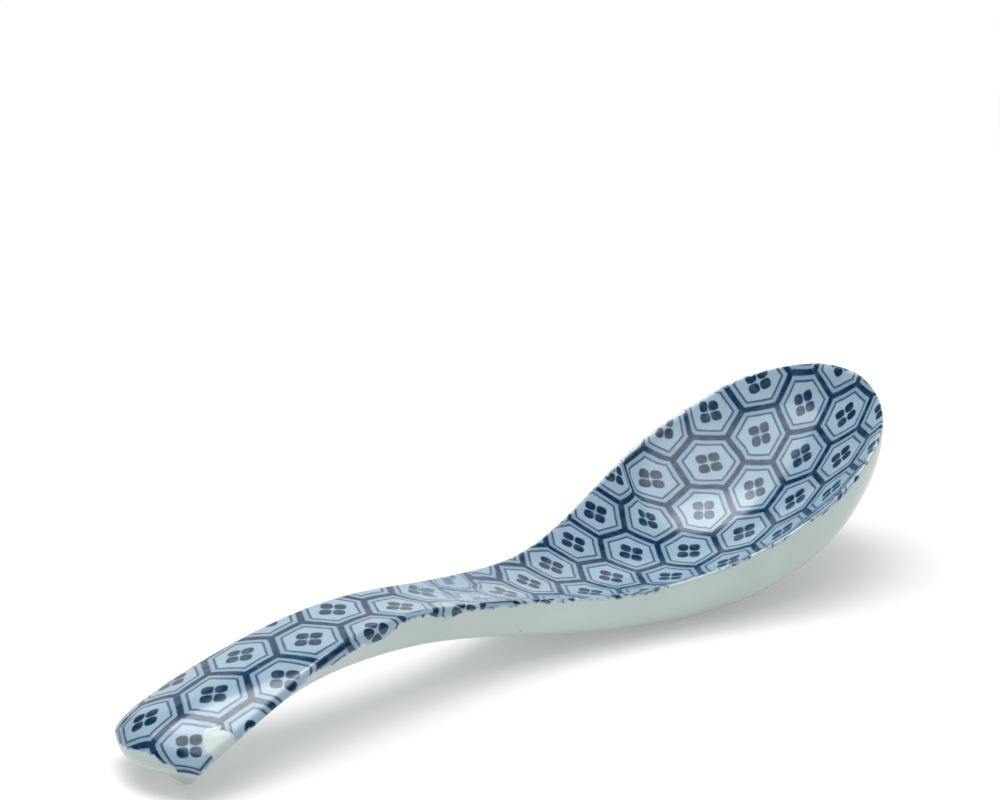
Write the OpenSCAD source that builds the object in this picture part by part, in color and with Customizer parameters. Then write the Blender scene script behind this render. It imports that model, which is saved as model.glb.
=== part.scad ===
// Soup spoon in porcelain: one body, two printed transfers and a clear glaze over them.
// +X runs along the spoon to the bowl's lip, +Y across it and +Z up.
// The origin is the middle of the flat spot under the bowl, at table level.

/* [Spoon] */
// Length from the handle's end to the bowl's lip
overall_length = 172; // [142:1:202]
// Width of the bowl over its rim
bowl_width = 50; // [42:0.5:60]
// Height of the bowl's lip above the table
lip_height = 33; // [28:0.5:38]
// Depth that the two lobes of the handle's end reach past the cleft between them
lobe_depth = 2.4; // [1.5:0.1:3.2]

/* [Porcelain] */
// Thickness of the handle where it is thickest, glaze included
handle_thickness = 7; // [5.5:0.1:8]
// Radius that rounds the rim
rim_radius = 1.1; // [0.8:0.1:1.5]

/* [Layers] */
// Thickness of the clear glaze
glaze_thickness = 0.35; // [0.2:0.05:0.45]
// Thickness of the printed colour
print_thickness = 0.1; // [0.05:0.01:0.15]

/* [Hidden] */

// Control sections from the handle's end to the lip, drawn through by a smooth curve.
// Each holds the place along the length and the height of the middle of the upper face,
// the degrees that the section leans, the half width, the rise of the edges over the
// middle and the thickness, as shares of the sizes that the next lines name.
section_shares = [
    [0.0383, -0.006, 119, 0.447, -0.058, 0.00],
    [0.0126, 0.111, 113, 0.406, -0.106, 0.33],
    [-0.0032, 0.125, 98, 0.408, -0.129, 0.38],
    [0.0027, 0.215, 58, 0.456, -0.111, 0.30],
    [0.0245, 0.311, 3, 0.499, -0.105, 0.33],
    [0.1045, 0.423, 3, 0.475, -0.072, 0.43],
    [0.2202, 0.528, 0, 0.335, 0.008, 0.93],
    [0.3141, 0.531, 0, 0.297, 0.013, 1.07],
    [0.3902, 0.446, 0, 0.296, 0.026, 0.98],
    [0.4742, 0.326, 0, 0.374, 0.073, 0.91],
    [0.5651, 0.188, 0, 0.543, 0.113, 0.76],
    [0.6570, 0.107, 0, 0.763, 0.216, 0.60],
    [0.7490, 0.076, 0, 0.959, 0.364, 0.37],
    [0.8260, 0.183, 0, 1.032, 0.417, 0.33],
    [0.8883, 0.379, 0, 0.956, 0.336, 0.59],
    [0.9427, 0.644, 0, 0.823, 0.211, 0.86],
    [0.9802, 0.811, 0, 0.513, 0.137, 0.73],
    [0.9941, 1.009, 0, 0.261, -0.026, 0.79],
    [1.0000, 0.976, 0, 0.183, -0.022, 0.47],
    [1.0000, 0.955, 0, 0.000, 0.000, 0.00],
];
share_unit = [overall_length, lip_height, 1, bowl_width / 2, lip_height, handle_thickness];
// Place of the origin along the length
foot_share = 0.6729;
// How the inner and outer faces swell from the middle of a section to its edges, and the
// share of the thickness that is left between them at the least
inner_power = 1.96;
outer_power = 5.1;
least_wall_share = 0.6;
// The handle's end is cut to its lobed outline, and the sections after it are shifted along
// the curve by less and less, until this many sections from the end. A lobe is fullest at a
// share of the half width, and its corner is drawn back by a share of the lobe's depth.
lobe_sections = 4.7;
lobe_fade_power = 1.7;
lobe_peak_share = 0.4;
corner_power = 1.42;
corner_share = 1.43;

// Fineness of the mesh: rings along the spoon and steps across each face
rings = 68;
across = 16;
around = 2 * across;
last_section = len(section_shares) - 1;
pole = rings * around;

// The two sheets of print meet at a ring, and end short of the rim and the handle's end
seam_share = 0.456;
print_first_share = 0.118;
print_last_share = 0.912;
seam_ring = round(seam_share * rings);
print_first_ring = round(print_first_share * rings);
print_last_ring = round(print_last_share * rings);
print_margin_steps = 1;

// Rings and steps between which the glaze is wiped off the flat spot
foot_first_share = 0.544;
foot_last_share = 0.574;
foot_first_ring = round(foot_first_share * rings);
foot_last_ring = round(foot_last_share * rings);
foot_steps = 1;

// Glaze runs thin on thin porcelain: it takes this share of the thickness and of the half
// width at the most. It fills in towards the edges, and closes over the handle's end within
// a few rings and over the lip within a run of so many times its own thickness.
glaze_wall_share = 0.15;
edge_fill = 6;
end_rings = 3;
end_glaze_share = 0.35;
lip_run = 4;

// Weights of four neighbouring control sections at the fraction f of a step
function weights(f) = [
    pow(1 - f, 3) / 6,
    (3 * pow(f, 3) - 6 * f * f + 4) / 6,
    (-3 * pow(f, 3) + 3 * f * f + 3 * f + 1) / 6,
    pow(f, 3) / 6
];
function control(k) =
    k < 0 ? 2 * section_shares[0] - section_shares[1] :
    k > last_section ? 2 * section_shares[last_section] - section_shares[last_section - 1] :
    section_shares[k];
function blend(k, w) =
    w[0] * control(k - 1) + w[1] * control(k) + w[2] * control(k + 1) + w[3] * control(k + 2);
function section_at(t) =
    let (k = min(floor(t), last_section - 1), row = blend(k, weights(t - k)))
    [for (i = [0:len(row) - 1]) row[i] * share_unit[i]];

// Where ring i lies among the control sections, with the rings closer at both ends
end_crowding_share = 0.6;
function ring_section(i) =
    let (f = i / rings)
    last_section * (f - end_crowding_share * sin(360 * f) / (2 * PI));
// The share of the half width at step j: up along the upper face, back along the lower one
function side_share(j) = -cos(180 * (j > across ? around - j : j) / across);

// Height of the upper and of the lower face over the middle of a section
function edge_radius(s) = max(0, min(rim_radius, s[3] / 2, s[5] / 2));
function rounded_drop(radius, depth) =
    radius <= 0 ? 0 : radius * (1 - sqrt(max(0, 1 - pow(max(0, 1 - depth / radius), 2))));
function upper_rise(s, side) =
    s[4] * pow(abs(side), inner_power) - rounded_drop(edge_radius(s), s[3] * (1 - abs(side)));
function lower_rise(s, side) =
    let (edge = s[4] - edge_radius(s), fullness = sqrt(max(0, 1 - pow(abs(side), outer_power))))
    min(
        (edge + s[5]) * (1 - fullness) - s[5],
        upper_rise(s, side) - least_wall_share * s[5] * fullness
    );

// How far the lobed outline reaches at a share of the half width: 1 at a lobe's fullest
function lobe_outline(a) =
    let (beyond = max(0, a - lobe_peak_share) / (1 - lobe_peak_share))
    a < lobe_peak_share ? pow(sin(90 * a / lobe_peak_share), 2) :
    (1 + corner_share) * pow(max(0, 1 - pow(beyond, corner_power)), 1 / corner_power) - corner_share;
// The shift along the curve, in sections, that cuts the end to that outline
first_step = section_at(1) - section_at(0);
first_step_length = norm([first_step[0], first_step[1]]);
function lobe_shift(t, side) =
    let (fade = pow(max(0, 1 - t / lobe_sections), lobe_fade_power))
    fade * (1 - lobe_outline(abs(side))) * lobe_depth / first_step_length;
function shifted_section(t, side) =
    let (s = section_at(t + lobe_shift(t, side)))
    [s[0], s[1], s[2], s[3], s[4], section_at(t)[5]];

// A point of the glazed outside, which never lies below the table
function raw_point(i, j) =
    let (side = side_share(j), s = shifted_section(ring_section(i), side))
    let (rise = j > across ? lower_rise(s, side) : upper_rise(s, side))
    [
        s[0] - foot_share * overall_length - rise * sin(s[2]),
        s[3] * side,
        s[1] + rise * cos(s[2])
    ];
raw = [for (i = [0:rings]) [for (j = [0:around - 1]) raw_point(i, j)]];
function on_table(p) = [p[0], p[1], max(0, p[2])];
skin = [for (ring = raw) [for (p = ring) on_table(p)]];

// The way from the outside to the foot of the glaze: straight in from the face, sideways in
// from the edge, and along the curve at both ends
lip_place = section_at(last_section)[0];
function straight_in(s, side) =
    min(glaze_thickness, glaze_wall_share * s[5]) * sqrt(min(1, edge_fill * (1 - side * side)));
function along_in(i, s) =
    end_glaze_share * glaze_thickness * max(0, 1 - i / end_rings)
    - max(0, glaze_thickness - (lip_place - s[0]) / lip_run);
function glaze_inset(i, j) =
    let (side = side_share(j), s = shifted_section(ring_section(i), side))
    let (up = straight_in(s, side) * (j > across ? 1 : -1), along = along_in(i, s))
    [
        along * cos(s[2]) - up * sin(s[2]),
        -min(glaze_thickness, glaze_wall_share * s[3]) * side,
        along * sin(s[2]) + up * cos(s[2])
    ];

// Vertices in one list, with the lip as a single last one
points = [for (i = [0:rings - 1]) each skin[i], skin[rings][0]];
insets = [for (i = [0:rings - 1], j = [0:around - 1]) glaze_inset(i, j), glaze_inset(rings, 0)];
function vertex(i, j) =
    i == rings ? pole :
    i == 0 && j > across && j < around ? around - j :
    i * around + j % around;

// Two triangles to each square of the net, mirrored about the middle
function is_triangle(t) = t[0] != t[1] && t[1] != t[2] && t[2] != t[0];
function square(a, b, c, d, flip) = flip ? [[a, c, b], [a, d, c]] : [[a, d, b], [b, d, c]];
triangles = [
    for (i = [0:rings - 1], j = [0:around - 1])
        let (flip = j % across < across / 2)
        for (t = square(vertex(i, j), vertex(i, j + 1), vertex(i + 1, j + 1), vertex(i + 1, j), flip))
            if (is_triangle(t)) t
];

// The glaze is wiped off the flat spot, where the bowl's underside meets the table
function is_foot(i, j) =
    i >= foot_first_ring && i <= foot_last_ring && abs(j - 3 * across / 2) <= foot_steps;
// Depth of the glaze's foot at each vertex, as a share of the way in
glaze_depths = [for (i = [0:rings - 1], j = [0:around - 1]) is_foot(i, j) ? 0 : 1, 1];
// Colour lies on the upper face, away from its edges
function is_inside(i, j, first, last) =
    j > print_margin_steps && j < across - print_margin_steps && i > first && i < last;
print_share = print_thickness / glaze_thickness;
function print_depths(first, last) = [
    for (i = [0:rings - 1], j = [0:around - 1]) is_inside(i, j, first, last) ? print_share : 0,
    0
];
bowl_print_depths = print_depths(seam_ring, print_last_ring);
handle_print_depths = print_depths(print_first_ring, seam_ring);

// Points at a list of such depths
function points_at(depths) = [for (k = [0:pole]) points[k] + insets[k] * depths[k]];

// A closed solid between two depths, which share their vertices where the depths are alike
module layer(shallow, deep) {
    thick = deep - shallow;
    held = [for (t = triangles) if (thick[t[0]] + thick[t[1]] + thick[t[2]] > 0) t];
    function under(k) = thick[k] > 0 ? k + pole + 1 : k;
    polyhedron(
        points = concat(points_at(shallow), points_at(deep)),
        faces = concat(held, [for (t = held) [under(t[0]), under(t[2]), under(t[1])]])
    );
}

// Fired porcelain: bowl, neck, handle and the flat spot under the bowl, in one piece
module porcelain_body() {
    color("#eef0ec")
        polyhedron(points = points_at(glaze_depths), faces = triangles);
}

// Printed colour on the inside of the bowl
module bowl_print() {
    color("#23467a")
        layer(glaze_depths - bowl_print_depths, glaze_depths);
}

// Printed colour on top of the handle and over its turned-down end
module handle_print() {
    color("#2c5288")
        layer(glaze_depths - handle_print_depths, glaze_depths);
}

// Clear glaze over the body and the prints, open at the flat spot
module clear_glaze() {
    color("#d8e6e4", 0.4)
        layer(0 * glaze_depths, glaze_depths - bowl_print_depths - handle_print_depths);
}

porcelain_body();
bowl_print();
handle_print();
clear_glaze();
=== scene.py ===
# %% [markdown]
# # A blue and white porcelain soup spoon
# The real spoon is one piece of fired porcelain. Two sheets of printed cobalt were slid onto
# it, one into the bowl and one over the handle, and a clear glaze was fired over both.
# This notebook lays that decoration over the measured solids of the spoon, and then sets up
# a small photo studio round it.

# %% Tools
import math

import bpy
import numpy as np
from mathutils import Matrix, Vector


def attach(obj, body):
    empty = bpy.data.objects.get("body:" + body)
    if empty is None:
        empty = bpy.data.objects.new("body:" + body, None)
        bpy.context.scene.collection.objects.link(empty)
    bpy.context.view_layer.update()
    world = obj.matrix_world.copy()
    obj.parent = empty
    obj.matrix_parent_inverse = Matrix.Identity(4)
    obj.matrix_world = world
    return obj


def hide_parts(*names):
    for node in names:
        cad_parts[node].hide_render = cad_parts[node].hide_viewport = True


# %% [markdown]
# ## The measured solids
# They come in first and stay where they are. Every piece below takes its place on them.

# %% Load the solids
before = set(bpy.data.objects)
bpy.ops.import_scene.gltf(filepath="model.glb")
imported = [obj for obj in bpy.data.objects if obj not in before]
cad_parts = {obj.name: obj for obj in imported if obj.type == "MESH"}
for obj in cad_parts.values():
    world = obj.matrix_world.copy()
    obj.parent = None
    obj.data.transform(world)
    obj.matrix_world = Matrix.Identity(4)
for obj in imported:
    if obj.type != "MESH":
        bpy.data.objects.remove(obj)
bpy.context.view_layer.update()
print("solids:", sorted(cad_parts))

# %% [markdown]
# ## Sizes
# All lengths are in metres. The rows describe the spoon from the handle's end to the lip.
# Each holds the place along the spoon and the height of the middle of the upper face, the
# degrees that the section leans, the half width, the rise of the edges and the thickness.
# They are shares of the spoon's main sizes, the same ones as in the part's source.

# %% Sizes of the spoon
MM = 0.001
OVERALL_LENGTH = 172 * MM
BOWL_WIDTH = 50 * MM
LIP_HEIGHT = 33 * MM
HANDLE_THICKNESS = 7 * MM
RIM_RADIUS = 1.1 * MM
LOBE_DEPTH = 2.4 * MM
FOOT_SHARE = 0.6729
SECTION_SHARES = np.array([
    [0.0383, -0.006, 119, 0.447, -0.058, 0.00],
    [0.0126, 0.111, 113, 0.406, -0.106, 0.33],
    [-0.0032, 0.125, 98, 0.408, -0.129, 0.38],
    [0.0027, 0.215, 58, 0.456, -0.111, 0.30],
    [0.0245, 0.311, 3, 0.499, -0.105, 0.33],
    [0.1045, 0.423, 3, 0.475, -0.072, 0.43],
    [0.2202, 0.528, 0, 0.335, 0.008, 0.93],
    [0.3141, 0.531, 0, 0.297, 0.013, 1.07],
    [0.3902, 0.446, 0, 0.296, 0.026, 0.98],
    [0.4742, 0.326, 0, 0.374, 0.073, 0.91],
    [0.5651, 0.188, 0, 0.543, 0.113, 0.76],
    [0.6570, 0.107, 0, 0.763, 0.216, 0.60],
    [0.7490, 0.076, 0, 0.959, 0.364, 0.37],
    [0.8260, 0.183, 0, 1.032, 0.417, 0.33],
    [0.8883, 0.379, 0, 0.956, 0.336, 0.59],
    [0.9427, 0.644, 0, 0.823, 0.211, 0.86],
    [0.9802, 0.811, 0, 0.513, 0.137, 0.73],
    [0.9941, 1.009, 0, 0.261, -0.026, 0.79],
    [1.0000, 0.976, 0, 0.183, -0.022, 0.47],
    [1.0000, 0.955, 0, 0.000, 0.000, 0.00],
])
SHARE_UNITS = np.array(
    [OVERALL_LENGTH, LIP_HEIGHT, 1, BOWL_WIDTH / 2, LIP_HEIGHT, HANDLE_THICKNESS]
)
SECTIONS = SECTION_SHARES * SHARE_UNITS
LAST_SECTION = len(SECTIONS) - 1
INNER_POWER, OUTER_POWER, LEAST_WALL_SHARE = 1.96, 5.1, 0.6
LOBE_SECTIONS, LOBE_FADE_POWER, LOBE_PEAK_SHARE = 4.7, 1.7, 0.4
CORNER_POWER, CORNER_SHARE = 1.42, 1.43
TINY = 1e-9
print("sections:", len(SECTIONS))

# %% [markdown]
# ## The spoon's surface
# A potter's former gives the spoon its shape: every section flows into the next one. It could
# be modelled as a cage with a subdivision surface. A curve through the measured rows was
# chosen, because the dressed spoon then has the very shape of the solids.


# %% Surface of the spoon
def section_at(t):
    """The blended row at place t, counted in sections from the handle's end."""
    before = 2 * SECTIONS[0] - SECTIONS[1]
    after = 2 * SECTIONS[-1] - SECTIONS[-2]
    rows = np.vstack([before, SECTIONS, after])
    k = np.minimum(np.floor(t).astype(int), LAST_SECTION - 1)
    f = (t - k)[..., None]
    weights = (
        (1 - f) ** 3 / 6,
        (3 * f**3 - 6 * f**2 + 4) / 6,
        (-3 * f**3 + 3 * f**2 + 3 * f + 1) / 6,
        f**3 / 6,
    )
    return sum(w * rows[k + i] for i, w in enumerate(weights))


def lobe_outline(a):
    """How far the handle's lobed end reaches at a share of the half width."""
    rising = np.sin(np.pi / 2 * np.minimum(a, LOBE_PEAK_SHARE) / LOBE_PEAK_SHARE) ** 2
    beyond = np.clip((a - LOBE_PEAK_SHARE) / (1 - LOBE_PEAK_SHARE), 0, 1)
    falling = (1 - beyond**CORNER_POWER) ** (1 / CORNER_POWER)
    return np.where(a < LOBE_PEAK_SHARE, rising, (1 + CORNER_SHARE) * falling - CORNER_SHARE)


def surface(t, side):
    """Upper and lower face at places t (rows) and shares of the half width (columns)."""
    step = section_at(np.array([1.0]))[0] - section_at(np.array([0.0]))[0]
    fade = np.clip(1 - t / LOBE_SECTIONS, 0, 1) ** LOBE_FADE_POWER
    cut = (1 - lobe_outline(np.abs(side))) * LOBE_DEPTH / math.hypot(step[0], step[1])
    row = section_at(t[:, None] + fade[:, None] * cut[None, :])
    along, height, lean, width, rise = (row[..., i] for i in range(5))
    thick = section_at(t)[:, 5][:, None]
    lean = np.radians(lean)
    a = np.abs(side)[None, :]
    radius = np.maximum(np.minimum(RIM_RADIUS, np.minimum(width, thick) / 2), TINY)
    nearness = np.clip(1 - width * (1 - a) / radius, 0, 1)
    upper = rise * a**INNER_POWER - radius * (1 - np.sqrt(1 - nearness**2))
    fullness = np.sqrt(np.clip(1 - a**OUTER_POWER, 0, 1))
    lower = (rise - radius + thick) * (1 - fullness) - thick
    lower = np.minimum(lower, upper - LEAST_WALL_SHARE * thick * fullness)
    faces = []
    for lift in (upper, lower):
        x = along - FOOT_SHARE * OVERALL_LENGTH - lift * np.sin(lean)
        z = np.maximum(height + lift * np.cos(lean), 0)
        faces.append(np.stack([x, width * side[None, :], z], axis=-1))
    return faces


# %% [markdown]
# ## A net of points
# Points lie closer at the handle's end and at the lip, and closer at the edges, because the
# surface bends most there. The loop runs up over the upper face and back under the lower one.

# %% Net of points
RINGS = 300
STEPS = 72
END_CROWDING_SHARE = 0.6
fraction = np.arange(RINGS + 1) / RINGS
ring_places = LAST_SECTION * (
    fraction - END_CROWDING_SHARE * np.sin(2 * np.pi * fraction) / (2 * np.pi)
)
side_shares = -np.cos(np.pi * np.arange(STEPS + 1) / STEPS)
upper_face, lower_face = surface(ring_places, side_shares)
loops = np.concatenate([upper_face, lower_face[:, ::-1][:, 1:-1]], axis=1)
AROUND = loops.shape[1]
print("net:", loops.shape[0], "rings of", AROUND, "points")

# %% [markdown]
# ## Distances on the spoon
# A printed sheet keeps its lengths when it is bent, so its pattern is laid out in lengths on
# the surface. They could come from an unwrapped map. Here they are summed up from point to
# point, because the net already runs along and across the spoon.

# %% Distances in millimetres
# The strip runs over the upper face and some way round both edges onto the lower face
WRAP = 24
strip = np.concatenate([loops[:, -WRAP:], loops[:, :STEPS + 1 + WRAP]], axis=1)
COLUMNS = strip.shape[1]
middle = WRAP + STEPS // 2
near_edge, far_edge = WRAP, WRAP + STEPS

strides = np.linalg.norm(np.diff(strip[:, middle], axis=0), axis=1)
run = np.concatenate([[0], np.cumsum(strides)]) / MM
foot_ring = int(np.argmin(np.abs(strip[:, middle, 0])))
run -= run[foot_ring]
spans = np.linalg.norm(np.diff(strip, axis=1), axis=2)
across = np.concatenate([np.zeros((RINGS + 1, 1)), np.cumsum(spans, axis=1)], axis=1) / MM
across -= across[:, [middle]]
run_grid = np.repeat(run[:, None], COLUMNS, axis=1)
print("middle line runs from", run[0].round(1), "to", run[-1].round(1), "mm")

# %% [markdown]
# ## Where the two prints lie
# The sheets were pressed round the edges by hand, so their borders wander: on the near side
# they reach over the widest edge by up to two millimetres, or stop just short of it. They
# could be cut as curves. A distance to the nearest edge, kept in every point, was chosen,
# because the material can then tear the sheet there. Ink stops at zero.

# %% Borders of the prints
LIP_MARGIN = 0.6
# Place along the spoon, and how far past the widest edge the near border reaches
NEAR_REACH = np.array([
    [-124, -0.3], [-104, -0.2], [-101, 0.4], [-98, 0.8], [-94, 0.6], [-90, 0.2],
    [-86.5, -0.3], [-84, 0.6], [-81, 1.2], [-78, 1.4], [-75.5, 0.8], [-71, 2.1],
    [-69, 1.6], [-67.5, 1.0], [-66, 0.0], [-62.5, -0.4], [-60, -0.3], [-57.5, 0.5],
    [-56, 1.2], [-54, 0.9], [-52, 0.5], [-50, 0.2], [-45, 0.1], [-37, -0.1],
    [-31, -0.4], [-18, -0.3], [-13, 0.0], [-10, -0.5], [-6, -1.0], [0, -0.9],
    [4, -0.3], [10, -0.6], [14, -0.1], [18, -1.0], [22, -0.1], [28, 0.3],
    [33, 0.3], [37, -0.3], [41, -0.8], [46, -0.5], [68, -0.5],
])
# The same for the far border, which shows only along the bowl
FAR_REACH = np.array([[-124, 0.6], [-60, 0.8], [-40, 0.2], [-20, -0.6], [0, -0.9], [68, -0.9]])
# Place across the handle, and where along it the print ends above the lobes
END_REACH = np.array([
    [-14, -126.5], [-11.4, -126.5], [-9.5, -122.5], [-8.5, -119.0], [-6.5, -119.3],
    [-4.1, -118.3], [-2.5, -118.5], [0.7, -119.7], [4.5, -119.4], [8, -120.2], [14, -121.5],
])
# A spot near the end where the sheet was rubbed off: middle and half sizes
SPOT_RUN, SPOT_ACROSS, SPOT_HALF_LENGTH, SPOT_HALF_WIDTH = -109.2, -13.0, 2.9, 4.8

near_gap = across - across[:, [near_edge]] + np.interp(run_grid, *NEAR_REACH.T)
far_gap = across[:, [far_edge]] - across + np.interp(run_grid, *FAR_REACH.T)
end_gap = run_grid - np.interp(across, *END_REACH.T)
lip_gap = run[-1] - LIP_MARGIN - run_grid
spot_gap = np.hypot(
    (run_grid - SPOT_RUN) / SPOT_HALF_LENGTH, (across - SPOT_ACROSS) / SPOT_HALF_WIDTH
) * SPOT_HALF_LENGTH - SPOT_HALF_LENGTH
border = np.minimum.reduce([near_gap, far_gap, end_gap, lip_gap, spot_gap])
print("inside a border:", int((border > 0).sum()), "of", border.size, "points")

# %% [markdown]
# ## Creases on the neck
# The two sheets meet on the neck, where they were rubbed down over creases. A share from
# zero to one says how worn a point is, and the material smears and thins the ink by it.

# %% Worn neck
WORN_RUN, WORN_HALF_LENGTH = -43.0, 9.5
WORN_ACROSS, WORN_FADE = -6.5, 2
SEAM_RUN = -47.0
worn = np.exp(-((run_grid - WORN_RUN) / WORN_HALF_LENGTH) ** 2)
worn = worn * np.clip((across - WORN_ACROSS) / WORN_FADE, 0, 1)
seam_ring = int(np.argmin(np.abs(run - SEAM_RUN)))
print("the sheets meet at ring", seam_ring)

# %% [markdown]
# ## How the flat pattern bends over the surface
# The sheets were flat and the spoon isn't, so the pattern stretches a little. In the bowl
# the sheet was too wide for the hollow and was folded into a tuck on the far side.

# %% Pattern coordinates
RUN_UNIT = 50.0
TUCK_WIDTH_START, TUCK_WIDTH_RUN = 10.5, 12.0
TUCK_RUN, TUCK_SLANT, TUCK_ACROSS, TUCK_BREADTH = 15.4, 0.21, 14, 3


def tuck(run_mm, across_mm):
    """Share of the tuck's lost strip that is passed at a point."""
    line = TUCK_RUN + TUCK_SLANT * (across_mm - TUCK_ACROSS)
    ramp = np.clip((across_mm - TUCK_WIDTH_START) / TUCK_WIDTH_RUN, 0, 1)
    step = np.clip((run_mm - line) / TUCK_BREADTH + 0.5, 0, 1)
    return ramp * step * step * (3 - 2 * step)


def sheet_coordinates(run_mm, across_mm, along_terms, across_terms, tucks):
    """Place on the flat sheet in millimetres, from the place on the spoon."""
    s, v = run_mm / RUN_UNIT, across_mm / RUN_UNIT
    terms = (1, v, v * v, s, s * v, s * s)
    folded = tuck(run_mm, across_mm)
    a = sum(c * term for c, term in zip(along_terms, terms)) + tucks[0] * folded
    b = sum(c * term for c, term in zip(across_terms, terms)) + tucks[1] * folded
    return a, b


HANDLE_ALONG = (63.7, 2.0, 0.12, 53.37, 0.75, 1.33)
HANDLE_ACROSS = (3.53, 49.11, -0.02, 1.65, 0.08, 0.48)
NO_TUCK = (0, 0)
BOWL_ALONG = (-6.44, -1.69, 2.90, 51.32, 1.50, -0.69)
BOWL_ACROSS = (-9.74, 52.45, -2.11, 3.15, -0.03, -3.63)
BOWL_TUCK = (4.67, -1.18)
handle_sheet = sheet_coordinates(run_grid, across, HANDLE_ALONG, HANDLE_ACROSS, NO_TUCK)
bowl_sheet = sheet_coordinates(run_grid, across, BOWL_ALONG, BOWL_ACROSS, BOWL_TUCK)

# The damp sheet was pulled round the near edge where the handle bends
PULL_RUN, PULL_HALF_LENGTH, PULL_REACH, PULL_SIZE = -85.5, 6.0, 3.0, 1.3
from_edge = np.maximum(across - across[:, [near_edge]], 0)
pull = PULL_SIZE * np.exp(
    -((run_grid - PULL_RUN) / PULL_HALF_LENGTH) ** 2 - (from_edge / PULL_REACH) ** 2
)
handle_sheet = (handle_sheet[0], handle_sheet[1] + pull)
print("largest pull at the near edge:", float(pull.max().round(2)), "mm")

# %% [markdown]
# ## Building the pieces
# The body is a closed skin. It sinks a hair's breadth under the prints, and the prints' own
# borders dip under it, so that neither piece ends in a visible step.

# %% Piece builders
PRINT_BED = 0.03 * MM
BORDER_DIP = 0.06 * MM
# Places in millimetres from the border, where the bed and the dip begin and how fast
BED_EDGE, BED_RUN = -0.4, 0.4
DIP_RUN = 0.3
SMALLEST_NORMAL = 1e-12


def face_normals(face):
    """Unit normals of a grid of points, from the differences between them."""
    n = np.cross(np.gradient(face, axis=0), np.gradient(face, axis=1))
    n /= np.maximum(np.linalg.norm(n, axis=2, keepdims=True), SMALLEST_NORMAL)
    return n


def make_object(name, points, faces, attributes=None):
    """A smooth mesh object with named values on its points."""
    mesh = bpy.data.meshes.new(name)
    mesh.from_pydata(points.reshape(-1, 3).tolist(), [], faces)
    for key, (kind, values) in (attributes or {}).items():
        layer = mesh.attributes.new(key, kind, "POINT")
        field = "vector" if kind == "FLOAT_VECTOR" else "value"
        layer.data.foreach_set(field, np.ascontiguousarray(values, np.float32).ravel())
    mesh.polygons.foreach_set("use_smooth", [True] * len(mesh.polygons))
    mesh.update()
    obj = bpy.data.objects.new(name, mesh)
    bpy.context.scene.collection.objects.link(obj)
    return obj


strip_normals = face_normals(strip)
if strip_normals[foot_ring, middle, 2] < 0:
    strip_normals = -strip_normals
printed = np.clip((border - BED_EDGE) / BED_RUN + 1, 0, 1)
print("printed share of the strip:", float((printed > 0).mean().round(2)))

# %% [markdown]
# ### Porcelain body
# White clay was pressed over a former, trimmed at the rim and fired. One skin goes all the
# way round, open nowhere but at the wiped spot that it stands on. That spot is a piece of
# its own on the same points, so that its bare clay meets the glaze without a gap.

# %% Porcelain body
FOOT_HALF_RINGS, FOOT_HALF_STEPS = 7, 9
lower_middle = STEPS + STEPS // 2
body_loops = loops.copy()
bed = strip_normals * (printed * PRINT_BED)[..., None]
for column in range(COLUMNS):
    body_loops[:, (column - WRAP) % AROUND] -= bed[:, column]


def loop_index(i, j):
    """Number of a point of the net. The first ring is folded flat, and the last is a point."""
    j %= AROUND
    if i == RINGS:
        return RINGS * AROUND
    if i == 0 and j > STEPS:
        j = AROUND - j
    return i * AROUND + j


def is_foot(i, j):
    """True for the faces of the flat spot that the spoon stands on."""
    inside_rings = -FOOT_HALF_RINGS <= i - foot_ring < FOOT_HALF_RINGS
    return inside_rings and -FOOT_HALF_STEPS <= j - lower_middle < FOOT_HALF_STEPS


body_faces, foot_faces = [], []
for i in range(RINGS):
    for j in range(AROUND):
        corners = [
            loop_index(i, j), loop_index(i + 1, j), loop_index(i + 1, j + 1), loop_index(i, j + 1)
        ]
        corners = list(dict.fromkeys(corners))
        if len(corners) > 2:
            (foot_faces if is_foot(i, j) else body_faces).append(corners)
body_points = np.vstack([body_loops[:RINGS].reshape(-1, 3), loops[RINGS, 0]])
porcelain = make_object("porcelain_skin", body_points, body_faces)
foot = make_object("bare_foot", body_points, foot_faces)
print("body faces:", len(body_faces), "foot faces:", len(foot_faces))

# %% [markdown]
# ### Printed sheets
# A sheet of cobalt print was soaked off its backing and smoothed down by hand. It could be
# painted on the body. A thin sheet of its own was chosen, as on the real spoon, and it keeps
# its flat coordinates, so that the pattern can be drawn on it at its real size.

# %% Printed sheets
SHEET_OVERLAP = 1.6
GRID_RINGS = np.arange(RINGS)[:, None]


def grid_faces(keep):
    """Four-sided faces of a grid of points, where keep holds."""
    return [
        (i * COLUMNS + j, (i + 1) * COLUMNS + j, (i + 1) * COLUMNS + j + 1, i * COLUMNS + j + 1)
        for i, j in np.argwhere(keep).tolist()
    ]


def print_sheet(name, rings, coordinates):
    """The part of the strip that one sheet covers between two rings."""
    held = border > -SHEET_OVERLAP
    keep = held[:-1, :-1] & held[1:, :-1] & held[1:, 1:] & held[:-1, 1:]
    keep &= (GRID_RINGS >= rings[0]) & (GRID_RINGS < rings[1])
    dip = np.clip((BED_EDGE - border) / DIP_RUN, 0, 1) * BORDER_DIP
    points = strip - strip_normals * dip[..., None]
    flat = np.stack([coordinates[0], coordinates[1], np.zeros_like(border)], axis=-1)
    values = {
        "sheet": ("FLOAT_VECTOR", flat),
        "border": ("FLOAT", border),
        "worn": ("FLOAT", worn),
    }
    return make_object(name, points, grid_faces(keep), values)


# The first and the last ring stay out, where the strip closes to a line and to a point
handle_transfer = print_sheet("handle_transfer", (1, seam_ring), handle_sheet)
bowl_transfer = print_sheet("bowl_transfer", (seam_ring, RINGS - 1), bowl_sheet)
pieces = (porcelain, foot, handle_transfer, bowl_transfer)
print("pieces:", [piece.name for piece in pieces])

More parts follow.
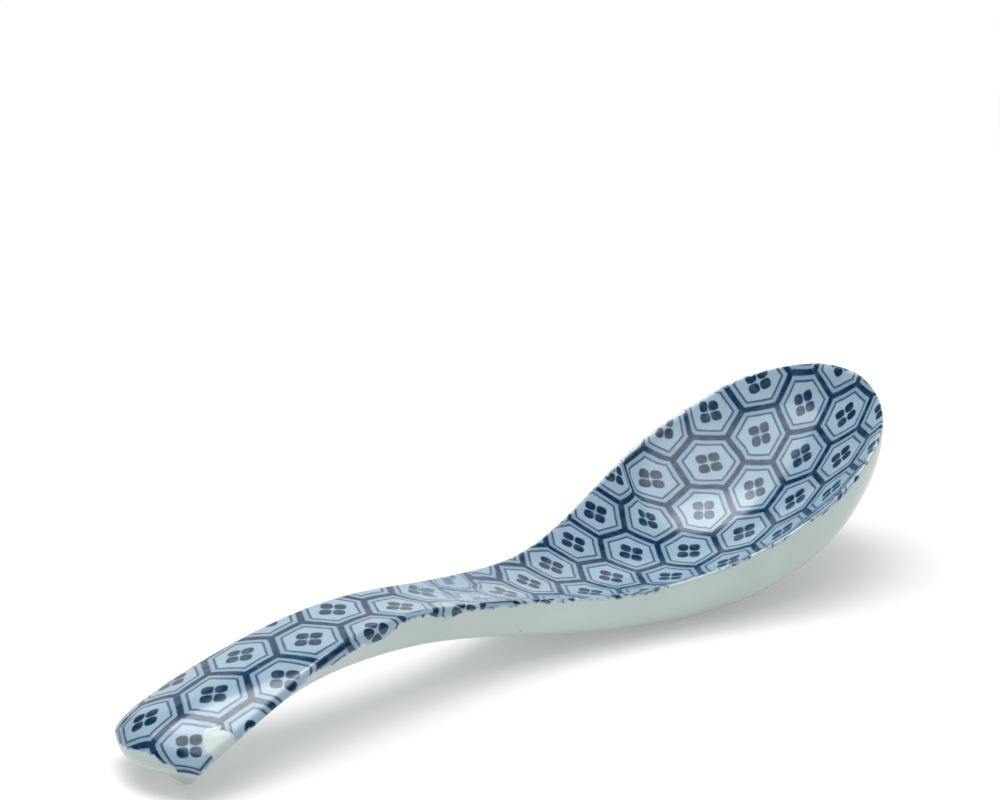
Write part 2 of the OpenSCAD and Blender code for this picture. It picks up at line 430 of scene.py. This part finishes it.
# %% [markdown]
# ### Clean meshes
# Each piece was made on all points of its net. The points that no face uses go, and every
# face is turned to look outwards, away from the clay.


# %% Clean the meshes
def drop_loose(obj):
    """Removes points that no face uses."""
    bpy.context.view_layer.objects.active = obj
    bpy.ops.object.select_all(action="DESELECT")
    obj.select_set(True)
    bpy.ops.object.mode_set(mode="EDIT")
    bpy.ops.mesh.select_all(action="SELECT")
    bpy.ops.mesh.delete_loose()
    bpy.ops.object.mode_set(mode="OBJECT")


def facing(obj, direction):
    """Flips the piece when its faces, weighed by area, look away from the direction."""
    if sum(p.area * p.normal.dot(direction) for p in obj.data.polygons) < 0:
        obj.data.flip_normals()


for piece in pieces:
    drop_loose(piece)
facing(handle_transfer, Vector((0, 0, 1)))
facing(bowl_transfer, Vector((0, 0, 1)))
facing(foot, Vector((0, 0, -1)))
if sum(p.area * p.normal.dot(p.center) for p in porcelain.data.polygons) < 0:
    porcelain.data.flip_normals()
for piece in pieces:
    print(piece.name, "has", len(piece.data.polygons), "faces")

# %% [markdown]
# ## Materials
# Porcelain is a white, slightly grey-green body under glass. The gloss comes from the glaze,
# so every glazed material has a clear coat with the index of glass.


# %% Colour and node helpers
def srgb(code):
    """A hex colour as linear red, green, blue and alpha."""
    parts = [int(code[i:i + 2], 16) / 255 for i in (1, 3, 5)]
    linear = [c / 12.92 if c <= 0.04045 else ((c + 0.055) / 1.055) ** 2.4 for c in parts]
    return (*linear, 1)


def add(tree, kind, inputs=None, **settings):
    """One node with its settings. An input is a value, or a socket to link from.

    A Map Range takes its value at 0, the range it comes from at 1 and 2, and the range it
    goes to at 3 and 4. A Mix takes its share at 0, vectors at 4 and 5, and colours at 6 and 7.
    """
    node = tree.nodes.new(kind)
    for key, value in settings.items():
        setattr(node, key, value)
    for key, value in (inputs or {}).items():
        if isinstance(value, bpy.types.NodeSocket):
            tree.links.new(value, node.inputs[key])
        else:
            node.inputs[key].default_value = value
    return node


def new_material(name):
    """An empty node material, and its tree."""
    material = bpy.data.materials.new(name)
    material.use_nodes = True
    material.node_tree.nodes.clear()
    return material, material.node_tree


# %% [markdown]
# ### Glazed porcelain
# This is hard white porcelain, dipped in clear glaze and fired until the glaze ran smooth.
# The glaze gathers in broad, soft clouds of a cooler tone, and a few iron specks from the
# clay show through it. To the eye that gives a soft white body under a clear mirror of the
# lamp, with a very faint orange-peel waviness in it.

# %% Surface of the glaze
# Size of one wave of the glaze. The node takes its inverse, 260 waves to the metre.
PEEL_SIZE = 3.8461538 * MM
PEEL_STRENGTH, PEEL_DEPTH = 0.03, 1 * MM


def glaze_ripple(tree, place):
    """Normal of the fired glaze, with its faint waviness."""
    peel = add(
        tree, "ShaderNodeTexNoise",
        {"Vector": place, "Scale": 1 / PEEL_SIZE, "Detail": 2.0, "Roughness": 0.4},
    )
    return add(
        tree, "ShaderNodeBump",
        {"Height": peel.outputs[0], "Strength": PEEL_STRENGTH, "Distance": PEEL_DEPTH},
    ).outputs[0]


# %% Ground colour under the glaze
PORCELAIN, PORCELAIN_POOL, IRON_SPECK = "#C7D7D4", "#BBCCC8", "#8A8577"
# Sizes of one cloud and of the space that one speck has. The nodes take their inverses,
# which are 45 and 170 to the metre.
CLOUD_SIZE, SPECK_SPACING = 22.222222 * MM, 5.882353 * MM
CLOUD_START, CLOUD_FULL = 0.35, 0.7
# Only one place in fourteen has a speck, of up to 0.05 of the space and half see-through
SPECK_RARITY, SPECK_RADIUS, SPECK_STRENGTH = 0.93, 0.05, 0.5


def ground_colour(tree, place):
    """Colour of porcelain under clear glaze: clouds of glaze and iron specks."""
    clouds = add(
        tree, "ShaderNodeTexNoise", {"Vector": place, "Scale": 1 / CLOUD_SIZE, "Detail": 3.0}
    )
    cloud_share = add(
        tree, "ShaderNodeMapRange", {0: clouds.outputs[0], 1: CLOUD_START, 2: CLOUD_FULL}
    )
    ground = add(
        tree, "ShaderNodeMix",
        {0: cloud_share.outputs[0], 6: srgb(PORCELAIN), 7: srgb(PORCELAIN_POOL)},
        data_type="RGBA",
    )
    specks = add(tree, "ShaderNodeTexVoronoi", {"Vector": place, "Scale": 1 / SPECK_SPACING})
    size = add(tree, "ShaderNodeTexWhiteNoise", {0: specks.outputs["Position"]})
    radius = add(
        tree, "ShaderNodeMapRange",
        {0: size.outputs[0], 1: SPECK_RARITY, 2: 1.0, 3: 0.0, 4: SPECK_RADIUS},
    )
    inside = add(
        tree, "ShaderNodeMath",
        {0: specks.outputs["Distance"], 1: radius.outputs[0]}, operation="LESS_THAN",
    )
    faint = add(
        tree, "ShaderNodeMath", {0: inside.outputs[0], 1: SPECK_STRENGTH}, operation="MULTIPLY"
    )
    return add(
        tree, "ShaderNodeMix",
        {0: faint.outputs[0], 6: ground.outputs[2], 7: srgb(IRON_SPECK)},
        data_type="RGBA",
    ).outputs[2]


# %% Clear coat of glaze
GLAZE_IOR = 1.54
GLAZE_ROUGHNESS = 0.14
BODY_ROUGHNESS = 0.45


def glazed_shader(tree, colour, normal):
    """Ceramic body under a clear coat of glassy glaze, joined to the output."""
    shader = add(
        tree, "ShaderNodeBsdfPrincipled",
        {
            "Base Color": colour,
            "Roughness": BODY_ROUGHNESS,
            "IOR": GLAZE_IOR,
            "Specular IOR Level": 0.0,
            "Coat Weight": 1.0,
            "Coat Roughness": GLAZE_ROUGHNESS,
            "Coat IOR": GLAZE_IOR,
            "Coat Normal": normal,
        },
    )
    add(tree, "ShaderNodeOutputMaterial", {0: shader.outputs[0]})


# %% Glazed porcelain material
glazed_porcelain, tree = new_material("glazed_porcelain")
place = add(tree, "ShaderNodeTexCoord").outputs["Object"]
glazed_shader(tree, ground_colour(tree, place), glaze_ripple(tree, place))
print(glazed_porcelain.name, "has", len(tree.nodes), "nodes")

# %% [markdown]
# ### Bare clay of the foot
# The spot that touches the kiln shelf is wiped free of glaze. Bare fired clay is matt, a
# little warmer, and has a fine sandy grain. To the eye it is the one dull place of the spoon.

# %% Bare clay
BARE_CLAY, CLAY_GRAIN = "#D9D3C6", "#C8C0B0"
GRIT_SIZE = 0.4 * MM
GRIT_STRENGTH, GRIT_DEPTH = 0.3, 0.1 * MM
CLAY_ROUGHNESS, CLAY_IOR = 0.85, 1.5
bare_clay, tree = new_material("bare_fired_clay")
place = add(tree, "ShaderNodeTexCoord").outputs["Object"]
grain = add(
    tree, "ShaderNodeTexNoise", {"Vector": place, "Scale": 1 / GRIT_SIZE, "Detail": 4.0}
)
tone = add(
    tree, "ShaderNodeMix",
    {0: grain.outputs[0], 6: srgb(BARE_CLAY), 7: srgb(CLAY_GRAIN)}, data_type="RGBA",
)
relief = add(
    tree, "ShaderNodeBump",
    {"Height": grain.outputs[0], "Strength": GRIT_STRENGTH, "Distance": GRIT_DEPTH},
)
clay = add(
    tree, "ShaderNodeBsdfPrincipled",
    {
        "Base Color": tone.outputs[2],
        "Roughness": CLAY_ROUGHNESS,
        "IOR": CLAY_IOR,
        "Normal": relief.outputs[0],
    },
)
add(tree, "ShaderNodeOutputMaterial", {0: clay.outputs[0]})
print(bare_clay.name, "has", len(tree.nodes), "nodes")

# %% [markdown]
# ### Cobalt print under the glaze
# Cobalt oxide was printed on thin paper, slid onto the clay and fired under the glaze. To the
# eye that gives dark lines with soft edges and uneven strength, all under one gloss.
# The pattern is a honeycomb of tortoiseshell cells, each with a thin inner line and a flower
# of four petals. It could be an image. Nodes were chosen, because they stay sharp at any
# distance: they find the nearest cell centre on the flat sheet and measure from there.

# %% Pattern sizes in millimetres
CELL = 11.7
HALF = CELL / 2
ROW_STEP = CELL * math.cos(math.pi / 6)
BAND_HALF_WIDTH = 0.62
INNER_LINE = 4.25
INNER_LINE_HALF_WIDTH = 0.18
PETAL_REACH = 1.65
PETAL_RADIUS = 1.19
PETAL_POWER = 1.6
FLOWER_RING = 0.42
RING_FADE, RING_STRENGTH = (0.2, 0.05), 0.55
INK_EDGE = 0.18
SLANTED_FLAT = (math.cos(math.pi / 6), 0.5, 0.0)
print("cells of", CELL, "mm in rows", round(ROW_STEP, 2), "mm apart")

# %% Cobalt print material
cobalt_print, tree = new_material("cobalt_print_under_glaze")
place = add(tree, "ShaderNodeTexCoord").outputs["Object"]
sheet = add(tree, "ShaderNodeAttribute", attribute_name="sheet").outputs["Vector"]
border_gap = add(tree, "ShaderNodeAttribute", attribute_name="border").outputs["Fac"]
worn_share = add(tree, "ShaderNodeAttribute", attribute_name="worn").outputs["Fac"]
print("print nodes so far:", len(tree.nodes))

# %% [markdown]
# #### Hand laying
# It leaves the lines slightly wavy, and smears them on the neck. Both are shifts of the flat
# place by a noise, so that bands, lines and petals move together.

# %% Waver and smear
# Sizes in millimetres of one wave, and how far the shift goes along and across. The nodes
# take the inverses of the sizes, here and below: 0.35 and 0.22 waves to the millimetre.
WAVER_SIZE, WAVER_SHIFT = 2.8571429, (0.3, 0.3, 0.0)
SMEAR_SIZE, SMEAR_SHIFT = 4.5454545, (9.0, 5.0, 0.0)
NOISE_MIDDLE = (0.5, 0.5, 0.5)


def noise_shift(size, detail, shift):
    """A shift of the sheet, by noise of one size in millimetres."""
    noise = add(tree, "ShaderNodeTexNoise", {"Vector": sheet, "Scale": 1 / size, "Detail": detail})
    centred = add(
        tree, "ShaderNodeVectorMath", {0: noise.outputs["Color"], 1: NOISE_MIDDLE},
        operation="SUBTRACT",
    )
    return add(
        tree, "ShaderNodeVectorMath", {0: centred.outputs[0], 1: shift}, operation="MULTIPLY"
    ).outputs[0]


waver = noise_shift(WAVER_SIZE, 2.0, WAVER_SHIFT)
smear = noise_shift(SMEAR_SIZE, 3.0, SMEAR_SHIFT)
smear = add(
    tree, "ShaderNodeVectorMath", {0: smear, "Scale": worn_share}, operation="SCALE"
).outputs[0]
flat = sheet
for shift in (waver, smear):
    flat = add(tree, "ShaderNodeVectorMath", {0: flat, 1: shift}, operation="ADD").outputs[0]
print("print nodes so far:", len(tree.nodes))

# %% [markdown]
# #### Honeycomb
# Two rows of cells are interleaved. The place is wrapped to the nearest centre of each, and
# the nearer of the two centres wins. What is left is the place inside one cell.

# %% Place inside the nearest cell
period = (ROW_STEP, HALF, 1.0)
opposite = (-ROW_STEP, -HALF, -1.0)
shifted = add(
    tree, "ShaderNodeVectorMath", {0: flat, 1: period}, operation="ADD"
).outputs[0]
centres, reaches = [], []
for row in (flat, shifted):
    wrapped = add(
        tree, "ShaderNodeVectorMath", {0: row, 1: period, 2: opposite}, operation="WRAP"
    ).outputs[0]
    centres.append(wrapped)
    reaches.append(
        add(tree, "ShaderNodeVectorMath", {0: wrapped}, operation="LENGTH").outputs["Value"]
    )
second_wins = add(
    tree, "ShaderNodeMath", {0: reaches[1], 1: reaches[0]}, operation="LESS_THAN"
)
local = add(
    tree, "ShaderNodeMix",
    {0: second_wins.outputs[0], 4: centres[0], 5: centres[1]}, data_type="VECTOR",
).outputs[1]
folded = add(tree, "ShaderNodeVectorMath", {0: local}, operation="ABSOLUTE").outputs[0]
parts = add(tree, "ShaderNodeSeparateXYZ", {0: folded})
slant = add(
    tree, "ShaderNodeVectorMath", {0: folded, 1: SLANTED_FLAT}, operation="DOT_PRODUCT"
)
cell_reach = add(
    tree, "ShaderNodeMath", {0: slant.outputs["Value"], 1: parts.outputs[1]},
    operation="MAXIMUM",
).outputs[0]
print("print nodes so far:", len(tree.nodes))

# %% Broad band between the cells, and the thin line inside each
band = add(
    tree, "ShaderNodeMapRange",
    {0: cell_reach, 1: HALF - BAND_HALF_WIDTH - INK_EDGE, 2: HALF - BAND_HALF_WIDTH + INK_EDGE},
    interpolation_type="SMOOTHSTEP",
).outputs[0]
line_gap = add(tree, "ShaderNodeMath", {0: cell_reach, 1: INNER_LINE}, operation="SUBTRACT")
line_gap = add(tree, "ShaderNodeMath", {0: line_gap.outputs[0]}, operation="ABSOLUTE")
line = add(
    tree, "ShaderNodeMapRange",
    {0: line_gap.outputs[0], 1: INNER_LINE_HALF_WIDTH + INK_EDGE, 2: INNER_LINE_HALF_WIDTH / 2},
    interpolation_type="SMOOTHSTEP",
).outputs[0]
print("print nodes so far:", len(tree.nodes))

# %% [markdown]
# #### Flower
# The larger of the two folded coordinates picks the petal, a rounded diamond draws it, and a
# small ring marks the middle.

# %% Four petals and the ring
outer, inner = (
    add(
        tree, "ShaderNodeMath", {0: parts.outputs[0], 1: parts.outputs[1]}, operation=choice
    ).outputs[0]
    for choice in ("MAXIMUM", "MINIMUM")
)
reach = add(tree, "ShaderNodeMath", {0: outer, 1: PETAL_REACH}, operation="SUBTRACT")
reach = add(tree, "ShaderNodeMath", {0: reach.outputs[0]}, operation="ABSOLUTE").outputs[0]
reach, breadth = (
    add(tree, "ShaderNodeMath", {0: side, 1: PETAL_POWER}, operation="POWER").outputs[0]
    for side in (reach, inner)
)
petal = add(tree, "ShaderNodeMath", {0: reach, 1: breadth}, operation="ADD")
petal = add(
    tree, "ShaderNodeMath", {0: petal.outputs[0], 1: 1 / PETAL_POWER}, operation="POWER"
)
petal = add(
    tree, "ShaderNodeMapRange",
    {0: petal.outputs[0], 1: PETAL_RADIUS + INK_EDGE, 2: PETAL_RADIUS - INK_EDGE},
    interpolation_type="SMOOTHSTEP",
).outputs[0]
from_middle = add(tree, "ShaderNodeVectorMath", {0: local}, operation="LENGTH")
ring_gap = add(
    tree, "ShaderNodeMath", {0: from_middle.outputs["Value"], 1: FLOWER_RING},
    operation="SUBTRACT",
)
ring_gap = add(tree, "ShaderNodeMath", {0: ring_gap.outputs[0]}, operation="ABSOLUTE")
ring = add(
    tree, "ShaderNodeMapRange",
    {0: ring_gap.outputs[0], 1: RING_FADE[0], 2: RING_FADE[1], 3: 0.0, 4: RING_STRENGTH},
    interpolation_type="SMOOTHSTEP",
).outputs[0]
print("print nodes so far:", len(tree.nodes))

# %% [markdown]
# #### Ink
# A hand-laid print is uneven: the ink is fuller in some places than in others, the thin line
# is weaker than the band, and the worn neck has lost a good part of its ink.

# %% All ink together
LINE_STRENGTH = 0.85
DENSITY_SIZE, DENSITY_START, DENSITY_FULL, THIN_INK = 2.0, 0.3, 0.55, 0.86
WORN_INK = 0.6
ink = add(tree, "ShaderNodeMath", {0: band, 1: petal}, operation="MAXIMUM")
fine = add(tree, "ShaderNodeMath", {0: line, 1: LINE_STRENGTH}, operation="MULTIPLY")
fine = add(tree, "ShaderNodeMath", {0: fine.outputs[0], 1: ring}, operation="MAXIMUM")
ink = add(
    tree, "ShaderNodeMath", {0: ink.outputs[0], 1: fine.outputs[0]}, operation="MAXIMUM"
)
density = add(
    tree, "ShaderNodeTexNoise",
    {"Vector": sheet, "Scale": 1 / DENSITY_SIZE, "Detail": 5.0, "Roughness": 0.6},
)
density = add(
    tree, "ShaderNodeMapRange",
    {0: density.outputs[0], 1: DENSITY_START, 2: DENSITY_FULL, 3: THIN_INK, 4: 1.0},
)
kept = add(tree, "ShaderNodeMapRange", {0: worn_share, 3: 1.0, 4: WORN_INK})
for share in (density, kept):
    ink = add(
        tree, "ShaderNodeMath", {0: ink.outputs[0], 1: share.outputs[0]}, operation="MULTIPLY"
    )
print("print nodes so far:", len(tree.nodes))

# %% [markdown]
# #### Ragged edge
# Thin paper tears in flakes of a millimetre or so. Noise moves the border in and out, and
# the sheet fades in over a fraction of a millimetre.

# %% The sheet's ragged edge
FLAKE_SIZE, FLAKE_LOW, FLAKE_HIGH, FLAKE_DEPTH = 1.4285714, 0.3, 0.7, 0.45
FADE_START, FADE_FULL = -0.3, 0.35
torn = add(
    tree, "ShaderNodeTexNoise", {"Vector": sheet, "Scale": 1 / FLAKE_SIZE, "Detail": 2.0}
)
torn = add(
    tree, "ShaderNodeMapRange",
    {0: torn.outputs[0], 1: FLAKE_LOW, 2: FLAKE_HIGH, 3: -FLAKE_DEPTH, 4: FLAKE_DEPTH},
)
torn = add(tree, "ShaderNodeMath", {0: border_gap, 1: torn.outputs[0]}, operation="ADD")
laid = add(
    tree, "ShaderNodeMapRange", {0: torn.outputs[0], 1: FADE_START, 2: FADE_FULL},
    interpolation_type="SMOOTHSTEP",
).outputs[0]
print("print nodes so far:", len(tree.nodes))

# %% [markdown]
# #### Wash and colours
# A pale wash of cobalt lies inside the cells, stronger in the ring between band and inner
# line. Where the glaze pooled on it, it is greener.

# %% Wash and colours
WASH, WASH_PALE, WASH_POOL = "#8AA6BF", "#9DB6CA", "#95B3BE"
COBALT, COBALT_THIN = "#04304F", "#2C5384"
WASH_BEFORE_LINE, WASH_BEYOND_LINE = 0.5, 0.3
POOL_SIZE, POOL_START, POOL_FULL, POOL_STRENGTH = 6.25, 0.42, 0.68, 0.55
wash_share = add(
    tree, "ShaderNodeMapRange",
    {0: cell_reach, 1: INNER_LINE - WASH_BEFORE_LINE, 2: INNER_LINE + WASH_BEYOND_LINE},
)
wash = add(
    tree, "ShaderNodeMix",
    {0: wash_share.outputs[0], 6: srgb(WASH_PALE), 7: srgb(WASH)}, data_type="RGBA",
)
pools = add(
    tree, "ShaderNodeTexNoise", {"Vector": sheet, "Scale": 1 / POOL_SIZE, "Detail": 4.0}
)
pools = add(
    tree, "ShaderNodeMapRange",
    {0: pools.outputs[0], 1: POOL_START, 2: POOL_FULL, 4: POOL_STRENGTH},
)
wash = add(
    tree, "ShaderNodeMix",
    {0: pools.outputs[0], 6: wash.outputs[2], 7: srgb(WASH_POOL)}, data_type="RGBA",
)
bare = ground_colour(tree, place)
washed = add(tree, "ShaderNodeMix", {0: laid, 6: bare, 7: wash.outputs[2]}, data_type="RGBA")
inked = add(tree, "ShaderNodeMath", {0: ink.outputs[0], 1: laid}, operation="MULTIPLY")
thinned = add(
    tree, "ShaderNodeMix",
    {0: density.outputs[0], 6: srgb(COBALT_THIN), 7: srgb(COBALT)}, data_type="RGBA",
)
drawn = add(
    tree, "ShaderNodeMix",
    {0: inked.outputs[0], 6: washed.outputs[2], 7: thinned.outputs[2]}, data_type="RGBA",
)
glazed_shader(tree, drawn.outputs[2], glaze_ripple(tree, place))
print(cobalt_print.name, "has", len(tree.nodes), "nodes")

# %% [markdown]
# ## Dressing the spoon
# Nothing moves, so every piece rides on the one body. The skin stands for the body's solid
# and for the glaze, which is its clear coat, and each sheet stands for its own print.

# %% Dress the pieces
for piece, material in (
    (porcelain, glazed_porcelain), (foot, bare_clay),
    (handle_transfer, cobalt_print), (bowl_transfer, cobalt_print),
):
    piece.data.materials.append(material)
    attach(piece, "root")
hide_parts("porcelain_body", "clear_glaze")
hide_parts("handle_print")
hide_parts("bowl_print")
print("dressed pieces:", [piece.name for piece in pieces])

# %% [markdown]
# ## The studio
# The spoon stands on a white sweep. Near the spoon the sweep is mostly matt paper, which
# takes the soft shadow, and further out it glows, so that the picture is plain white there.
# It could be lit to white by lamps alone, but they would also bleach the porcelain.


# %% White sweep
def flat_card(name, corners, material):
    """A single staged face."""
    mesh = bpy.data.meshes.new(name)
    mesh.from_pydata(corners, [], [(0, 1, 2, 3)])
    mesh.materials.append(material)
    obj = bpy.data.objects.new(name, mesh)
    bpy.context.scene.collection.objects.link(obj)


WHITE, PAPER = "#FFFFFF", "#F6F4F4"
FLOOR_REACH = 4.0
GLOW_START, GLOW_FULL, LEAST_GLOW = 0.17, 0.40, 0.22
white_sweep, tree = new_material("lit_white_sweep")
place = add(tree, "ShaderNodeTexCoord").outputs["Object"]
distance = add(tree, "ShaderNodeVectorMath", {0: place}, operation="LENGTH")
glow = add(
    tree, "ShaderNodeMapRange",
    {0: distance.outputs["Value"], 1: GLOW_START, 2: GLOW_FULL, 3: LEAST_GLOW, 4: 1.0},
    interpolation_type="SMOOTHSTEP",
)
card = add(tree, "ShaderNodeBsdfDiffuse", {0: srgb(PAPER)})
light = add(tree, "ShaderNodeEmission", {0: srgb(WHITE), 1: 1.0})
both = add(
    tree, "ShaderNodeMixShader",
    {0: glow.outputs[0], 1: card.outputs[0], 2: light.outputs[0]},
)
add(tree, "ShaderNodeOutputMaterial", {0: both.outputs[0]})
flat_card(
    "white_sweep",
    [(x * FLOOR_REACH, y * FLOOR_REACH, 0) for x, y in ((-1, -1), (1, -1), (1, 1), (-1, 1))],
    white_sweep,
)
print("the sweep reaches", FLOOR_REACH, "m")

# %% [markdown]
# ## The lamps
# Two oval soft boxes hang over the far side of the spoon, one just under the other. The
# smaller one is the bright core that a lamp makes in the cloth of a large soft box. The
# glaze mirrors both in the middle of the bowl and on the neck.


# %% Lamps
def soft_lamp(name, place, turn, size, radiance):
    """An oval soft box that looks straight down, turned about the vertical by degrees."""
    lamp = bpy.data.lights.new(name, "AREA")
    lamp.shape = "ELLIPSE"
    lamp.size, lamp.size_y = size
    lamp.energy = radiance * math.pi * size[0] * size[1] * math.pi / 4
    obj = bpy.data.objects.new(name, lamp)
    obj.location = place
    obj.rotation_euler = (0, 0, math.radians(turn))
    bpy.context.scene.collection.objects.link(obj)
    print(name, "gives", round(lamp.energy, 2), "W")


LAMP_TURN = 25
soft_lamp(
    "overhead_softbox", place=(-0.04, 0.22, 1.0), turn=LAMP_TURN, size=(0.80, 1.5), radiance=2.5
)
soft_lamp(
    "softbox_hot_core", place=(0.10, 0.34, 0.99), turn=LAMP_TURN, size=(0.42, 0.78), radiance=3.6
)

# %% [markdown]
# ## The backdrop
# A lit paper stands behind the spoon, out of the picture, and the glaze mirrors it where it
# is seen at a slant. In other views the camera meets it as plain white.

# %% Backdrop
BACKDROP_AWAY, BACKDROP_HALF, BACKDROP_HEIGHT = 1.7, 1.0, 1.5
BACKDROP_TURN = math.radians(48)
BACKDROP_LIGHT = 0.8
backdrop_glow, tree = new_material("lit_backdrop_paper")
seen = add(tree, "ShaderNodeLightPath").outputs["Is Camera Ray"]
strength = add(tree, "ShaderNodeMapRange", {0: seen, 3: BACKDROP_LIGHT, 4: 1.0}).outputs[0]
light = add(tree, "ShaderNodeEmission", {0: srgb(WHITE), 1: strength})
add(tree, "ShaderNodeOutputMaterial", {0: light.outputs[0]})
away = Vector((math.cos(BACKDROP_TURN), math.sin(BACKDROP_TURN), 0))
aside = Vector((-away.y, away.x, 0))
foot_line = [away * BACKDROP_AWAY + aside * k * BACKDROP_HALF for k in (-1, 1)]
raised = Vector((0, 0, BACKDROP_HEIGHT))
flat_card(
    "backdrop_paper",
    [foot_line[0], foot_line[1], foot_line[1] + raised, foot_line[0] + raised],
    backdrop_glow,
)
print("the backdrop stands", BACKDROP_AWAY, "m away")

# %% [markdown]
# ## The room
# The room's soft light fills the shadows. The glaze mirrors a darker room than the one that
# lights it, so that the lamps' mirror images stand out, and the camera meets plain white.

# %% Room
ROOM_LIGHT, ROOM_IN_GLAZE = 0.45, 0.06
world = bpy.data.worlds.new("studio")
bpy.context.scene.world = world
world.use_nodes = True
tree = world.node_tree
tree.nodes.clear()
paths = add(tree, "ShaderNodeLightPath")
room = add(
    tree, "ShaderNodeMapRange",
    {0: paths.outputs["Is Glossy Ray"], 3: ROOM_LIGHT, 4: ROOM_IN_GLAZE},
)
strength = add(
    tree, "ShaderNodeMath",
    {0: room.outputs[0], 1: paths.outputs["Is Camera Ray"]}, operation="MAXIMUM",
).outputs[0]
sky = add(tree, "ShaderNodeBackground", {0: srgb(WHITE), 1: strength})
add(tree, "ShaderNodeOutputWorld", {0: sky.outputs[0]})
print("room light", ROOM_LIGHT, "and in the glaze", ROOM_IN_GLAZE)

# %% [markdown]
# ## The camera
# It stands as the photographer did: about 63 cm away, on the near side and towards the
# handle's end, and a good 19 degrees above the table. Its place, turn and lens were fitted
# to the outlines in the photograph together with the spoon's sections.

# %% Camera
AZIMUTH, ELEVATION, ROLL = math.radians(41.2183), math.radians(19.3202), math.radians(-1.3086)
DISTANCE = 630.9 * MM
ASIDE, LIFT = 25.764 * MM, -37.452 * MM
FOCAL_SHARE = 3.35135
SENSOR = 36.0
right = Vector((math.cos(AZIMUTH), -math.sin(AZIMUTH), 0))
ground = Vector((math.sin(AZIMUTH), math.cos(AZIMUTH), 0))
forward = ground * math.cos(ELEVATION) - Vector((0, 0, math.sin(ELEVATION)))
upward = ground * math.sin(ELEVATION) + Vector((0, 0, math.cos(ELEVATION)))
rolled_right = right * math.cos(ROLL) + upward * math.sin(ROLL)
rolled_up = upward * math.cos(ROLL) - right * math.sin(ROLL)
eye = -(rolled_right * ASIDE + rolled_up * LIFT + forward * DISTANCE)
lens = bpy.data.cameras.new("camera")
lens.sensor_width = SENSOR
lens.lens = FOCAL_SHARE * SENSOR
lens.clip_start, lens.clip_end = 0.01, 20
camera = bpy.data.objects.new("camera", lens)
turn = Matrix((rolled_right, rolled_up, -forward)).transposed()
camera.matrix_world = Matrix.Translation(eye) @ turn.to_4x4()
bpy.context.scene.collection.objects.link(camera)
bpy.context.scene.camera = camera
bpy.context.scene.view_settings.view_transform = "Standard"
print("the camera is at", [round(c, 3) for c in eye], "with a lens of", round(lens.lens), "mm")
